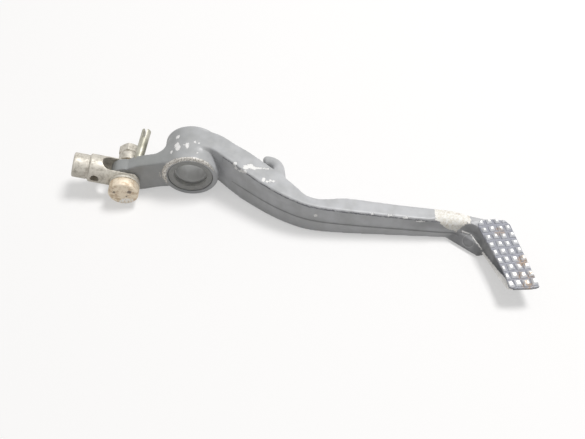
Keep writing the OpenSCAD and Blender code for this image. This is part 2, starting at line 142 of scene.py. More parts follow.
def rounded(corners, radius, steps=4):
    """A closed profile whose corners are eased: each corner P becomes the curve
    (1-t)^2 A + 2t(1-t) P + t^2 B, where A and B lie at the radius on its two sides."""
    p = np.asarray(corners, float)
    before, after = np.roll(p, 1, 0) - p, np.roll(p, -1, 0) - p
    before_l, after_l = np.linalg.norm(before, axis=1), np.linalg.norm(after, axis=1)
    reach = np.minimum(radius, 0.45 * np.minimum(before_l, after_l))
    a = p + before / before_l[:, None] * reach[:, None]
    b = p + after / after_l[:, None] * reach[:, None]
    t = np.linspace(0, 1, steps)[None, :, None]
    curve = (1 - t) ** 2 * a[:, None] + 2 * t * (1 - t) * p[:, None] + t ** 2 * b[:, None]
    return curve.reshape(-1, 2)


def turned_ring(name, corners, body, centre=(0, 0), ease=0.25, segments=128, ripple=None):
    """A ring turned about the Y axis: profile points (radius, y) swept as
    x = cx + r cos a, z = cz + r sin a, closed along the profile and round the axis."""
    profile = rounded(corners, ease)
    angle = np.linspace(0, 2 * pi, segments, endpoint=False)
    r, a = np.meshgrid(profile[:, 0], angle, indexing="ij")
    y = np.repeat(profile[:, 1:2], segments, 1)
    if ripple is not None:
        r = r + ripple(a, y)
    points = np.stack([centre[0] + r * np.cos(a), y, centre[1] + r * np.sin(a)], -1).reshape(-1, 3)
    return make_piece(name, points, grid_faces(len(profile), segments, True, True), body)


print("helpers ready")

# %% [markdown]
# ## The casting: from sharp solid to cast metal
# A sand or die casting has no sharp corner: outer edges are eased and inner corners are filled by a
# fillet. The merged copy of the solid is first turned into even cells by a voxel remesh. Then two
# flows run on the whole array of points. The first moves each point towards the mean of its
# neighbours, which eases every edge. The second only lets points move outwards, so it fills hollow
# corners with a fillet and leaves the rest alone.

# %% Even cells and the two flows
def even_copy(node, name, voxel):
    """Merged copy of a CAD node, remeshed into even cells; returns its points in mm and its
    quads."""
    mesh = nodes[node].data.copy()
    mesh.materials.clear()
    shape = bmesh.new()
    shape.from_mesh(mesh)
    bmesh.ops.remove_doubles(shape, verts=shape.verts, dist=2e-6)
    shape.to_mesh(mesh)
    shape.free()
    carrier = bpy.data.objects.new(name + "_cells", mesh)
    bpy.context.scene.collection.objects.link(carrier)
    cells = carrier.modifiers.new("even cells", "REMESH")
    cells.mode = "VOXEL"
    cells.voxel_size = voxel * MM
    scene_now = bpy.context.evaluated_depsgraph_get()
    fine = bpy.data.meshes.new_from_object(carrier.evaluated_get(scene_now))
    bpy.data.objects.remove(carrier)
    points = np.empty(len(fine.vertices) * 3)
    fine.vertices.foreach_get("co", points)
    quads = np.empty(len(fine.polygons) * 4, np.int64)
    fine.polygons.foreach_get("vertices", quads)
    bpy.data.meshes.remove(fine)
    return points.reshape(-1, 3) / MM, quads.reshape(-1, 4)


def links_of(quads):
    """Each edge of the quads once, as two arrays of point numbers."""
    pairs = np.concatenate([quads[:, [0, 1]], quads[:, [1, 2]], quads[:, [2, 3]], quads[:, [3, 0]]])
    pairs = np.unique(np.sort(pairs, 1), axis=0)
    return pairs[:, 0], pairs[:, 1]


def neighbour_mean(values, links):
    """Mean of the values at each point's neighbours, summed over the edges."""
    a, b = links
    n = len(values)
    count = np.bincount(a, minlength=n) + np.bincount(b, minlength=n)
    total = np.stack([np.bincount(a, values[b, k], n) + np.bincount(b, values[a, k], n)
                      for k in range(values.shape[1])], -1)
    return total / count[:, None]


def point_normals(points, quads):
    """Normal at each point: the sum of the cross products of its quads' diagonals."""
    cross = np.cross(points[quads[:, 2]] - points[quads[:, 0]],
                     points[quads[:, 3]] - points[quads[:, 1]])
    normal = np.stack([np.bincount(quads.ravel(), np.repeat(cross[:, k], 4), len(points))
                       for k in range(3)], -1)
    return normal / np.maximum(np.linalg.norm(normal, axis=1), 1e-12)[:, None]


def ease_edges(points, links, rounds, weight=1.0):
    """Moves points half way to their neighbours' mean, then a little back, so that thin parts
    keep their size."""
    w = np.broadcast_to(weight, (len(points),))[:, None]
    for _ in range(rounds):
        points = points + 0.5 * w * (neighbour_mean(points, links) - points)
        points = points - 0.2 * w * (neighbour_mean(points, links) - points)
    return points


def fill_corners(points, quads, links, rounds, weight):
    """Moves points along their normals towards their neighbours' mean, but only outwards."""
    for k in range(rounds):
        if k % 6 == 0:
            normal = point_normals(points, quads)
        push = np.sum((neighbour_mean(points, links) - points) * normal, 1)
        points = points + (0.8 * weight * np.maximum(push, 0))[:, None] * normal
    return points


def near(points, centre, radius, soft):
    """1 inside a ball, falling to 0 over the soft distance outside it."""
    return np.clip((radius + soft - np.linalg.norm(points - np.array(centre), axis=1)) / soft, 0, 1)


print("flows ready")

# %% [markdown]
# ## The toe pad's teeth
# The foot grips two sets of grooves that cross and leave rows of blunt pyramids. On the casting
# they are too small for even cells, so they get a surface of their own: a height over the pad's
# outline, the lower of a ridge across and a ridge along.

# %% Pad frame and outline
pad_w, pad_tip_w, pad_l = 15.0, 13.4, 40.0
tooth_h, tooth_rows, tooth_columns = 1.5, 9, 4
pad_base = -0.1 - tooth_h
pad_turn, end_turn, row_turn = radians(14.4), radians(12), radians(7)
pad_origin = np.array([144.7, -34.1])


def to_pad(points):
    """Points of the pedal in the pad's own frame: +x across the pad, -y along it."""
    d = points[:, :2] - pad_origin
    return np.stack([d[:, 0] * cos(pad_turn) + d[:, 1] * sin(pad_turn),
                     -d[:, 0] * sin(pad_turn) + d[:, 1] * cos(pad_turn), points[:, 2]], -1)


def from_pad(x, y, z):
    """Points of the pad's own frame, back in the pedal's frame."""
    return np.stack([pad_origin[0] + x * cos(pad_turn) - y * sin(pad_turn),
                     pad_origin[1] + x * sin(pad_turn) + y * cos(pad_turn), z], -1)


def worn_side(y):
    """How far in mm the plate's left side is worn in at a distance along the pad."""
    return np.interp(y, [-41, -38.5, -34, -29, -20, -10, -5, 0],
                     [0.0, 0.1, 0.7, 1.0, 0.6, 0.1, 0.0, 0.0])


def foot_height(y):
    """Height in mm of the flank's foot at a distance along the pad: it rises towards the tip."""
    return np.interp(y, [-pad_l, -6], [pad_base - 1.2, -11.6])


def outline_at(across, along):
    """Point of the pad's outline grid: across runs -1..1 and along 0..1 from the arm end to the
    tip. Both ends are arcs, the sides draw in towards the tip, the left side is worn in, and the
    whole is sheared by the end turn."""
    arc = np.sqrt(np.maximum(1 - across ** 2, 0))
    top, bottom = -4 + 4.2 * arc, 1 - pad_l - 1.2 * arc
    y = top + along * (bottom - top)
    half = pad_w / 2 + (pad_tip_w - pad_w) / 2 * np.clip((-4 - y) / (pad_l - 5), 0, 1)
    x = across * half + worn_side(y) * np.clip(-across, 0, 1) ** 2
    return x, y - x * np.tan(end_turn)


def ridge(position, pitch, start, blunt):
    """Height share of a ridge: 0 in the groove, rising to a flat top that takes up twice the blunt
    share of each pitch."""
    phase = np.abs(((position - start) / pitch) % 1 - 0.5)
    return 1 - np.clip((phase - blunt) / 0.28, 0, 1)


dice = np.random.default_rng(7)
print("pad frame ready")

# %% Tooth plate
across, along = np.meshgrid(np.linspace(-1, 1, 121), np.linspace(0, 1, 331), indexing="ij")
x, y = outline_at(across, along)
row_pitch, column_pitch = pad_l / tooth_rows, pad_w / tooth_columns
down = x * sin(row_turn) + y * cos(row_turn) + 0.22 * np.sin(0.75 * x + np.sin(0.31 * y))
sideways = x + 0.2 * np.sin(0.47 * y + 0.6 * x)
blunt = 0.10 + 0.10 * np.clip(-y / pad_l, 0, 1) ** 2
row = ridge(down, row_pitch, 1 - pad_l, blunt)
column = ridge(sideways, column_pitch, -pad_w / 2, blunt)
steep = 14.0        # how sharply the lower of the two ridges takes over
share = -np.log(np.exp(-steep * row) + np.exp(-steep * column)) / steep
row_number = np.clip(((down - 1 + pad_l) // row_pitch).astype(int), 0, tooth_rows + 1)
column_number = np.clip(((sideways + pad_w / 2) // column_pitch).astype(int), 0, tooth_columns)
# Each tooth has lost up to 0.3 mm of its height, and leans both ways by up to 0.5 mm
least = np.array([0.0, -0.5, -0.5])[:, None, None]
most = np.array([0.3, 0.5, 0.5])[:, None, None]
draws = dice.uniform(least, most, (3, tooth_rows + 2, tooth_columns + 1))
lost, lean_down, lean_side = draws[:, row_number, column_number]
lean = (lean_down * (((down - 1 + pad_l) / row_pitch) % 1 - 0.5)
        + lean_side * (((sideways + pad_w / 2) / column_pitch) % 1 - 0.5))
share = np.clip(share, 0, 1)
height = np.minimum(pad_base + share * (tooth_h - lost + lean), pad_base + tooth_h)
skirt = np.minimum(np.clip((1 - np.abs(across)) / 0.03, 0, 1),
                   np.clip(np.minimum(along, 1 - along) / 0.008, 0, 1))
rim_drop = 0.35     # how far the plate's rim lies under the foot of the teeth
height = pad_base - rim_drop + (height - pad_base + rim_drop) * np.sqrt(1 - (1 - skirt) ** 2)
tooth_share = (share * skirt).ravel()
top = from_pad(x, y, height)
floor_points = from_pad(x, y, np.full_like(x, pad_base - 0.5))
plate_points = np.concatenate([top.reshape(-1, 3), floor_points.reshape(-1, 3)])
rows_n, cols_n = x.shape
top_faces = grid_faces(rows_n, cols_n)
number = np.arange(rows_n * cols_n).reshape(rows_n, cols_n)
rim = np.concatenate([number[0, :-1], number[:-1, -1], number[-1, :0:-1], number[:0:-1, 0]])
rim_next = np.roll(rim, -1)
side_faces = np.stack([rim, rim_next, rim_next + number.size, rim + number.size], -1)
plate_faces = np.concatenate([top_faces, top_faces[:, ::-1] + number.size, side_faces])
toe_teeth = make_piece("toe_pad_teeth", plate_points, plate_faces, "pedal", sharp_angle=60)
print("highest tooth at z =", round(height.max(), 2), "mm; CAD", round(cast_high[2], 2))
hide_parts("pedal_casting")

# %% Pedal body
cell = 0.43
body_points, body_quads = even_copy("pedal_casting", "pedal_body", cell)
body_links = links_of(body_quads)
hub_radius = axis_distance(body_points)
eye_radius = axis_distance(body_points, pin_x, pin_z)
pad_points = to_pad(body_points)
on_pad = ((pad_points[:, 1] < 2) & (pad_points[:, 2] > pad_base - 0.6)
          & (np.abs(pad_points[:, 0]) < 9))
in_hub_bore = hub_radius < seal_r + 0.9
in_eye = eye_radius < 4.8

# The teeth are pressed down under the tooth plate
under_plate = on_pad & (pad_points[:, 1] < 0.3)
body_points[under_plate, 2] = np.minimum(body_points[under_plate, 2], pad_base - 0.25)

# Fillets: where the hub meets the arm and the tail, round the hook's root, and in the neck's corner
fillet = np.clip((hub_radius - seal_r - 1.6) / 1.0, 0, 1) * np.clip((24 - hub_radius) / 5, 0, 1)
fillet = np.maximum(fillet, near(body_points, (43.5, -15, 3.6), 7, 2))
fillet = np.maximum(fillet, near(body_points, (139.5, -36, -4), 5, 2))
fillet[in_hub_bore | in_eye | on_pad] = 0
body_points = fill_corners(body_points, body_quads, body_links, 110, fillet)
body_points = ease_edges(body_points, body_links, 4, np.where(in_hub_bore | in_eye, 0.25, 1.0))

# The arm's near top corner is worn round where the paint has peeled: points in the corner's square
# are carried along the rays from its inner corner to the quarter circle
corner_r = np.interp(body_points[:, 0], [112, 121, 133, 138], [0.0, 4.0, 4.0, 0.0])
strip = (body_points[:, 0] > 110) & (body_points[:, 0] < 140)
bins = np.clip(((body_points[:, 0] - 110) / 2).astype(int), 0, 14)
side_y, top_z = np.zeros(15), np.full(15, -20.0)
outer = strip & (body_points[:, 1] < -30) & (body_points[:, 2] > -7.5)
np.minimum.at(side_y, bins[outer], body_points[outer, 1])
near_top = strip & (body_points[:, 1] < -31) & (body_points[:, 1] > -34)
np.maximum.at(top_z, bins[near_top], body_points[near_top, 2])
middles = np.arange(15) * 2 + 111
side_y = np.interp(body_points[:, 0], middles, side_y)
top_z = np.interp(body_points[:, 0], middles, top_z)
inward, down_by = body_points[:, 1] - side_y, top_z - body_points[:, 2]
in_square = (strip & (corner_r > 0.2) & (inward < corner_r) & (down_by < corner_r)
             & (body_points[:, 2] > -8.0))
a, b = corner_r - inward, corner_r - down_by
pull = np.where(in_square, np.minimum(corner_r / np.maximum(np.hypot(a, b), 1e-6), 1.0), 1.0)
body_points[:, 1] = np.where(in_square, side_y + corner_r - a * pull, body_points[:, 1])
body_points[:, 2] = np.where(in_square, top_z - corner_r + b * pull, body_points[:, 2])
body_points = ease_edges(body_points, body_links, 3, strip * 1.0)

# The pad's left flank leans: its top is worn in with the plate, and its foot stands further out
q = to_pad(body_points)
foot_z = foot_height(q[:, 1])
deep = np.clip((pad_base - q[:, 2]) / (pad_base - foot_z), 0, 1)
foot_out = np.interp(q[:, 1], [-41, -37, -30, -14, -8, -4], [0.1, 0.7, 1.0, 1.0, 0.7, 0.0])
on_left = (np.clip((-2 - q[:, 0]) / 3.5, 0, 1) * np.clip((10.5 + q[:, 0]) / 1.5, 0, 1)
           * (q[:, 1] < 0.5) * (q[:, 2] < 0))
push = on_left * (worn_side(q[:, 1]) * (1 - deep) - foot_out * deep ** 2)
body_points[:, 0] += push * cos(pad_turn)
body_points[:, 1] += push * sin(pad_turn)

# The bores are machined, so they are brought back to their true radius
tiny = 1e-6
radius_now = np.maximum(axis_distance(body_points), tiny)
from_middle = np.abs(body_points[:, 1])
seat = in_hub_bore & (from_middle > bush_high[1] - 0.2) & (radius_now < seal_r + 0.35)
lane = in_hub_bore & (from_middle < bush_high[1] - 0.6) & (radius_now < bush_high[0] + 0.5)
target = np.where(seat, seal_r + 0.05, np.where(lane, bush_high[0] + 0.05, radius_now))
body_points[:, [0, 2]] *= (target / radius_now)[:, None]
eye_bore_r = 4.08
radius_eye = np.maximum(axis_distance(body_points, pin_x, pin_z), tiny)
bored = in_eye & (radius_eye < 4.4)
scale = np.where(bored, eye_bore_r / radius_eye, 1.0)
body_points[:, 0] = pin_x + (body_points[:, 0] - pin_x) * scale
body_points[:, 2] = pin_z + (body_points[:, 2] - pin_z) * scale

pedal_body = make_piece("pedal_body", body_points, body_quads, "pedal", sharp_angle=70)
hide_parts("pedal_casting")

# %% [markdown]
# ## The clevis fork and the spring post
# Both are steel turned on a lathe and then slotted by a cutter, so their edges are only just
# broken. The same even cells are used, much finer, with only a few rounds of easing.

# %% Fork and post
fork_points, fork_quads = even_copy("clevis_fork", "fork", 0.26)
fork_links = links_of(fork_quads)
fork_points = ease_edges(fork_points, fork_links, 3)
clevis = make_piece("fork_body", fork_points, fork_quads, "fork", sharp_angle=70)
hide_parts("clevis_fork")

post_points, post_quads = even_copy("spring_post", "post", 0.16)
post_points = ease_edges(post_points, links_of(post_quads), 3)
post = make_piece("slotted_post", post_points, post_quads, "pedal", sharp_angle=70)
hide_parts("spring_post")

# %% [markdown]
# ## Pin, washer, spacer and nut
# These are turned parts: a profile swept round the pin's axis. The pin's end carries a real
# thread, a radius that rises and falls once per turn as it climbs. The nut is a hexagon whose
# radius is cut off by a cone at both faces.

# %% Turned parts
washer_low, washer_high = node_box("pin_washer")
spacer_low, spacer_high = node_box("pin_spacer")
nut_low = node_box("pin_nut")[0]

pin_hole_r, collar_r = 4.06, 5.13
gap = 0.02          # keeps faces that touch from flickering
washer_r = washer_high[2] - pin_z - gap
washer_front = washer_low[1] + gap
washer = turned_ring("washer_ring", [(pin_hole_r, washer_front), (washer_r, washer_front),
                                     (washer_r, washer_high[1]), (pin_hole_r, washer_high[1])],
                     "fork", (pin_x, pin_z), ease=0.3)
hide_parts("pin_washer")

spacer = turned_ring("spacer_collar", [(pin_hole_r, spacer_low[1]), (collar_r, spacer_low[1]),
                                       (collar_r, spacer_high[1] - gap),
                                       (pin_hole_r, spacer_high[1] - gap)],
                     "fork", (pin_x, pin_z), ease=0.35)
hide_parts("pin_spacer")

# Hex nut: r = min(hexagon, cone at each face)
turn = np.linspace(0, 2 * pi, 180, endpoint=False)
rise = np.concatenate([np.linspace(0, 0.9, 10), np.linspace(1.2, 3.8, 8), np.linspace(4.1, 5, 10)])
lift, around = np.meshgrid(rise, turn, indexing="ij")
flats_half, nut_t, nut_bore_r = 5.0, 5.0, 3.06
hexagon = flats_half / np.cos((around + pi / 6) % (pi / 3) - pi / 6)
hexagon = hexagon - 0.5 * np.maximum(hexagon - 5.62, 0)
cone = 4.72 + 1.73 * np.minimum(lift, nut_t - lift)
outer = np.minimum(hexagon, cone)
inner = np.full((1, len(turn)), nut_bore_r)
nut_r = np.concatenate([inner, outer, inner])
nut_y = nut_low[1] + np.concatenate([np.zeros((1, len(turn))), lift,
                                     np.full((1, len(turn)), nut_t)])
nut_a = np.concatenate([around[:1], around, around[:1]])
nut_points = np.stack([pin_x + nut_r * np.cos(nut_a), nut_y, pin_z + nut_r * np.sin(nut_a)], -1)
nut = make_piece("hex_nut", nut_points.reshape(-1, 3),
                 grid_faces(len(rise) + 2, len(turn), True, True), "fork", sharp_angle=35)
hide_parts("pin_nut")

# Pin: domed head, plain shank, threaded end
head_r = (pin_high[0] - pin_low[0]) / 2 - 0.03
front, back = pin_low[1], pin_high[1]
head_back = washer_low[1] - gap
shank_r, shank_end = 3.96, spacer_low[1] + 2.0
head_corners = [(0, front)] + [(head_r * s, front + 0.5 * s ** 2) for s in (0.25, 0.5, 0.75)] + [
    (head_r - 0.35, front + 0.55), (head_r, front + 1.0), (head_r, washer_low[1] - 0.45),
    (head_r - 0.4, head_back), (shank_r, head_back), (shank_r, shank_end),
    (3.0, spacer_low[1] + 2.4)]
thread_y = np.linspace(spacer_low[1] + 2.5, back - 0.5, 150)
profile = np.array(head_corners + [(2.95, v) for v in thread_y] + [(2.3, back), (0, back)])
turn = np.linspace(0, 2 * pi, 96, endpoint=False)
r, a = np.meshgrid(profile[:, 0], turn, indexing="ij")
y = np.repeat(profile[:, 1:2], len(turn), 1)
threaded = (y > spacer_low[1] + 2.45) & (y < back - 0.45)
wave = np.abs(((y + a / (2 * pi)) % 1) - 0.5) * 2
crest_r, thread_depth = 2.97, 0.5
r = np.where(threaded, crest_r - thread_depth * np.clip(wave * 1.3 - 0.15, 0, 1), r)
pin_points = np.stack([pin_x + r * np.cos(a), y, pin_z + r * np.sin(a)], -1).reshape(-1, 3)
pin = make_piece("headed_pin", pin_points, grid_faces(len(profile), len(turn), False, True), "fork",
                 sharp_angle=50)
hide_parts("clevis_pin")

# %% [markdown]
# ## Dust seals
# Each seal is a moulded rubber ring with a dish in its outer face and a thin lip that wipes the
# shaft. A ring profile with soft corners gives it.

# %% Seals
lip = bush_high[0] - 2.2 + 0.4 + 0.02


def seal_profile(face, sign):
    """Profile of a seal whose outer face lies at y = face; sign points from the face into the
    hub."""
    outer = seal_r - 0.01
    return [(lip, face + sign * 0.5), (lip + 0.4, face + sign * 0.12),
            (lip + 0.9, face + sign * 0.3), (lip + 1.9, face + sign * 0.3),
            (lip + 2.3, face + sign * 0.03), (outer - 0.35, face + sign * 0.03),
            (outer, face + sign * 0.5), (outer, face + sign * 2.98),
            (lip + 0.5, face + sign * 2.98), (lip, face + sign * 2.2)]


near_seal = turned_ring("outer_seal", seal_profile(seal_low[1], 1), "pedal", ease=0.22)
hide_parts("outer_dust_seal")
far_face = node_box("inner_dust_seal")[1][1]
far_seal = turned_ring("inner_seal", seal_profile(far_face, -1), "pedal", ease=0.22)
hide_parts("inner_dust_seal")

# %% [markdown]
# ## Where the paint is worn
# Wear follows the shape: outer edges lose paint first. The bend of the surface at each point is
# stored on the mesh as an attribute, and so is the distance to each place where the photograph
# shows a chip, so that the materials can read both.
# The paint also reads the bend for a painted highlight along edges and painted shade in hollows.

# %% Store wear and painted shade on the meshes
def store(piece, name, values):
    """Writes one number per point into a named attribute of the mesh."""
    layer = piece.data.attributes.new(name, "FLOAT", "POINT")
    layer.data.foreach_set("value", np.asarray(values, np.float32))


def points_of(piece):
    """Points of a piece in millimetres, as one array."""
    flat = np.empty(len(piece.data.vertices) * 3)
    piece.data.vertices.foreach_get("co", flat)
    return flat.reshape(-1, 3) / MM


def quads_of(piece):
    """Quads of a piece, as one array of point numbers."""
    flat = np.empty(len(piece.data.polygons) * 4, np.int64)
    piece.data.polygons.foreach_get("vertices", flat)
    return flat.reshape(-1, 4)


def edge_bend(points, quads, spread):
    """How much each point stands proud of its neighbours' mean, along its normal, evened out a
    little."""
    links = links_of(quads)
    offset = neighbour_mean(points, links) - points
    proud = -np.sum(offset * point_normals(points, quads), 1)[:, None]
    for _ in range(spread):
        proud = 0.5 * proud + 0.5 * neighbour_mean(proud, links)
    return proud[:, 0]


for piece, spread in ((pedal_body, 3), (clevis, 2), (post, 2)):
    bend = edge_bend(points_of(piece), quads_of(piece), spread)
    store(piece, "bend", bend)
    print(piece.name, "bend from", bend.min().round(3), "to", bend.max().round(3))

# Chips: centre in mm, then half sizes in mm along x, y and z
chips = [
    ((-6.1, 4.2, 12.2), (0.9, 1.0, 1.2)), ((-6.2, -1.2, 12.2), (1.3, 1.5, 1.4)),
    ((-5.3, -3.3, 12.5), (1.3, 1.6, 1.4)), ((-0.7, -2.7, 13.7), (0.7, 1.6, 1.0)),
    ((-1.7, -2.2, 13.6), (1.0, 0.3, 1.0)), ((-8.6, -4.3, 10.7), (0.6, 0.8, 1.0)),
    ((2.7, -0.3, 13.6), (0.5, 0.6, 1.0)), ((4.7, -0.9, 13.4), (0.5, 0.4, 1.0)),
    ((4.2, -6.9, 13.0), (0.3, 0.4, 1.0)), ((22.6, -11.5, 10.7), (0.8, 0.8, 1.0)),
    ((23.0, -12.6, 8.9), (0.8, 0.8, 1.1)), ((24.5, -13.6, 8.1), (0.8, 0.8, 0.7)),
    ((26.0, -14.6, 8.9), (1.1, 0.9, 0.8)), ((27.6, -15.4, 9.3), (0.8, 0.8, 0.8)),
    ((27.9, -13.0, 9.9), (1.3, 1.3, 1.0)), ((29.8, -12.1, 9.6), (1.4, 1.5, 1.0)),
    ((31.7, -12.9, 9.2), (1.2, 0.9, 1.0)), ((33.6, -12.6, 8.9), (1.2, 0.5, 1.0)),
    ((36.3, -12.4, 8.5), (1.7, 0.4, 1.0)), ((36.6, -19.6, 8.4), (0.8, 1.1, 1.0)),
    ((38.2, -20.4, 8.2), (0.9, 0.5, 1.0)), ((39.6, -19.6, 8.0), (0.6, 0.7, 1.0)),
    ((41.2, -19.7, 7.8), (0.9, 0.4, 1.0)), ((61.4, -33.0, -1.3), (0.8, 1.0, 0.8)),
    ((110.8, -35.6, -1.6), (1.6, 1.0, 0.5)), ((134.4, -34.6, -1.5), (0.5, 0.8, 1.0)),
    ((104.0, -35.0, 0.2), (0.9, 0.5, 0.3)), ((96.5, -34.6, 1.2), (0.8, 0.5, 0.3)),
    ((88.0, -34.4, 2.0), (0.5, 0.4, 0.3)),
]
p = points_of(pedal_body)
distance = np.full(len(p), 9.0)
for centre, size in chips:
    q = np.linalg.norm((p - np.array(centre)) / np.array(size), axis=1)
    distance = np.minimum(distance, (q - 1) * min(size))
store(pedal_body, "chip", distance)

# The peeled patch at the arm's end: sharp at its hub side, ragged along its lower edge
lower_edge = np.interp(p[:, 0], [118.0, 120.3, 122.4, 124.1, 126.7, 128.6, 130.2, 131.3, 132.9],
                       [-1.1, -2.3, -4.4, -6.2, -7.5, -7.8, -5.8, -3.8, -2.2])
hub_side, pad_side = 3 * (118.0 - p[:, 0]), p[:, 0] - 134.4 - 0.35 * (p[:, 2] + 2)
peeled = np.maximum(np.maximum(hub_side, pad_side), lower_edge - p[:, 2])
store(pedal_body, "peeled", np.where(p[:, 1] < -26, peeled, 9.0))

# The hub's outboard rim is rubbed along its top, and scratched where it meets the tail
ring_r, ring_a = axis_distance(p), np.degrees(np.arctan2(p[:, 2], p[:, 0])) % 360
share = np.clip((ring_a - 8) / 40, 0, 1) * np.clip((212 - ring_a) / 25, 0, 1)
rubbed = np.where(p[:, 1] < -hub_half + 1.1, np.abs(ring_r - 12.8) - 1.5 * share + 0.4, 9.0)
scratched = np.linalg.norm((p - np.array([-14.4, -9.4, -0.4])) / np.array([1.9, 1.0, 5.4]), axis=1)
store(pedal_body, "rubbed", np.minimum(rubbed, scratched * 1.4 - 0.75))

# The tail and the hub are darker towards the tail end, most of all on the faces that look up
body_normals = point_normals(p, quads_of(pedal_body))
facing_up = np.clip(body_normals[:, 2], 0, 1)
tail_share = np.interp(p[:, 0], [-14, -7, 2, 20, 48], [0.9, 0.6, 0.25, 0.12, 0])
store(pedal_body, "darker_to_tail", tail_share * (0.3 + 0.3 * facing_up))

# The parting line of the mould runs along the ledge on the arm's outboard side
parting_z = np.interp(p[:, 0], [14, 22, 30, 45, 60, 75, 90, 105, 120, 139],
                      [-2.6, -3.2, -3.6, -4.2, -5.0, -6.0, -7.0, -7.9, -8.8, -8.8])
outboard = (p[:, 0] > 20) & (p[:, 0] < 130) & (body_normals[:, 1] < -0.3)
store(pedal_body, "parting", np.where(outboard, p[:, 2] - parting_z, 9.0))

# Specks of dirt sit just under the crease between the arm's top and its outboard side
side_face = (body_normals[:, 1] < -0.55) & (p[:, 0] > 16) & (p[:, 0] < 130) & (p[:, 2] > -8)
stretch, stretches = 2.2, 60
highest = np.full(stretches, -9.0)
np.maximum.at(highest, (p[side_face, 0] / stretch).astype(int), p[side_face, 2])
crease_z = np.interp(p[:, 0], np.arange(stretches) * stretch + stretch / 2, highest)
store(pedal_body, "crease", np.where(side_face, crease_z - p[:, 2], 9.0))

# Painted shade darkens the pad's flank, most towards its tip, and the hollow between the lug and
# the pad; a band under the arm's top edge near the pad is darker too. The rim along the pad's lower
# edge is bare
q = to_pad(p)
in_hollow = (np.clip((-6.6 - p[:, 2]) / 0.9, 0, 1) * np.clip((p[:, 0] - 123) / 4, 0, 1)
             * np.clip((-36.6 - p[:, 1]) / 0.8, 0, 1))
on_flank = (np.clip((-4.0 - q[:, 0]) / 0.6, 0, 1) * np.clip((pad_base - 0.1 - q[:, 2]) / 0.4, 0, 1)
            * (q[:, 1] < 0))
# The flank's painted shade deepens towards the pad's tip, past 1 where it turns near black
on_flank = on_flank * np.interp(q[:, 1], [-30, -16, -8, 0], [1.6, 0.95, 0.65, 0.5])
near_neck = (np.clip((q[:, 0] + 9.5) / 1.5, 0, 1) * np.clip((2.5 - q[:, 1]) / 2, 0, 1)
             * np.clip((q[:, 1] + 14) / 6, 0, 1))
in_hollow = in_hollow * (1 - 0.4 * near_neck)
under_edge = (0.45 * np.clip((p[:, 0] - 98) / 14, 0, 1) * np.clip((p[:, 2] + 7.5) / 2.5, 0, 1)
              * (p[:, 1] < -34.8))
shade_and_dirt_mask = np.maximum(np.maximum(in_hollow, on_flank), under_edge)
store(pedal_body, "shade_and_dirt", np.where(p[:, 0] > 90, shade_and_dirt_mask, 0))


def line_distance(points, line):
    """Distance from each point to the nearest stretch of a line through several places."""
    best = np.full(len(points), 99.0)
    for a, b in zip(line[:-1], line[1:]):
        t = np.clip((points - a) @ (b - a) / np.dot(b - a, b - a), 0, 1)
        best = np.minimum(best, np.linalg.norm(points - (a + t[:, None] * (b - a)), axis=1))
    return best


rim_line = np.array([(131.4, -36.8, -7.2), (135.1, -38.3, -7.6),
                     (138.2, -44.1, -7.6), (141.2, -50.2, -8.9)])
over_edge = q[:, 2] - foot_height(q[:, 1])
broad = np.interp(q[:, 1], [-40, -34, -26, -14, -6], [2.6, 2.0, 1.5, 1.2, 1.0])
along_flank = np.maximum(over_edge - broad, np.maximum(np.abs(q[:, 0] + 7.2) - 2.2, q[:, 1] + 12))
store(pedal_body, "rim", np.minimum(line_distance(p, rim_line) - 0.35, along_flank))
mark_middle, mark_r = np.array([134.1, -41.8, -8.5]), 2.9
store(pedal_body, "round_mark", np.linalg.norm(p - mark_middle, axis=1) - mark_r)

# Teeth: how high each point of the plate stands, and how near it is to the rusty spots
plate = points_of(toe_teeth)
store(toe_teeth, "high", np.concatenate([tooth_share, np.zeros(tooth_share.size)]))
rusty = [((147.6, -41.2), 2.2), ((156.3, -58.0), 3.2), ((156.0, -71.0), 2.6),
         ((153.4, -65.8), 1.8), ((158.6, -66.0), 2.0)]
reach = np.min([np.hypot(plate[:, 0] - x, plate[:, 1] - y) - r for (x, y), r in rusty], axis=0)
store(toe_teeth, "rusty", reach)
print("wear stored on", pedal_body.name, "and", toe_teeth.name)

# %% [markdown]
# ## Shared effects
# Grain, edge wear and dust are used by several materials. Each one is a node group with named
# sockets, and each material sets its own values.
# On the paint the edge wear also lays a painted highlight along the edges.

# %% Node helpers
def node_tree_of(material):
    """Empty node tree of a material, with a Principled shader joined to the output."""
    material.use_nodes = True
    tree = material.node_tree
    tree.nodes.clear()
    shader = tree.nodes.new("ShaderNodeBsdfPrincipled")
    out = tree.nodes.new("ShaderNodeOutputMaterial")
    tree.links.new(shader.outputs["BSDF"], out.inputs["Surface"])
    return tree, shader


def add(tree, kind, inputs=None, **settings):
    """A node with its settings and with each input set to a value or joined to a socket."""
    node = tree.nodes.new(kind)
    for key, value in settings.items():
        setattr(node, key, value)
    for key, value in (inputs or {}).items():
        if isinstance(value, bpy.types.NodeSocket):
            tree.links.new(value, node.inputs[key])
        else:
            node.inputs[key].default_value = value
    return node


def maths(tree, operation, a, b=0.0, c=0.0, clamp=False):
    """Output of one Math node."""
    node = add(tree, "ShaderNodeMath", {0: a, 1: b, 2: c}, operation=operation, use_clamp=clamp)
    return node.outputs[0]


def ramp_between(tree, value, low, high, to_low=0.0, to_high=1.0):
    """Value carried smoothly from low..high to to_low..to_high."""
    inputs = {"Value": value, "From Min": low, "From Max": high, "To Min": to_low,
              "To Max": to_high}
    node = add(tree, "ShaderNodeMapRange", inputs, interpolation_type="SMOOTHSTEP")
    return node.outputs["Result"]


def blend_colour(tree, share, first, second):
    """Colour that goes from the first to the second with the share."""
    node = add(tree, "ShaderNodeMix", {0: share, 6: first, 7: second}, data_type="RGBA")
    return node.outputs[2]


def noise(tree, vector, scale, detail=3.0, roughness=0.55):
    """Noise value at a scale per metre."""
    return add(tree, "ShaderNodeTexNoise", {"Vector": vector, "Scale": scale, "Detail": detail,
               "Roughness": roughness}).outputs["Fac"]


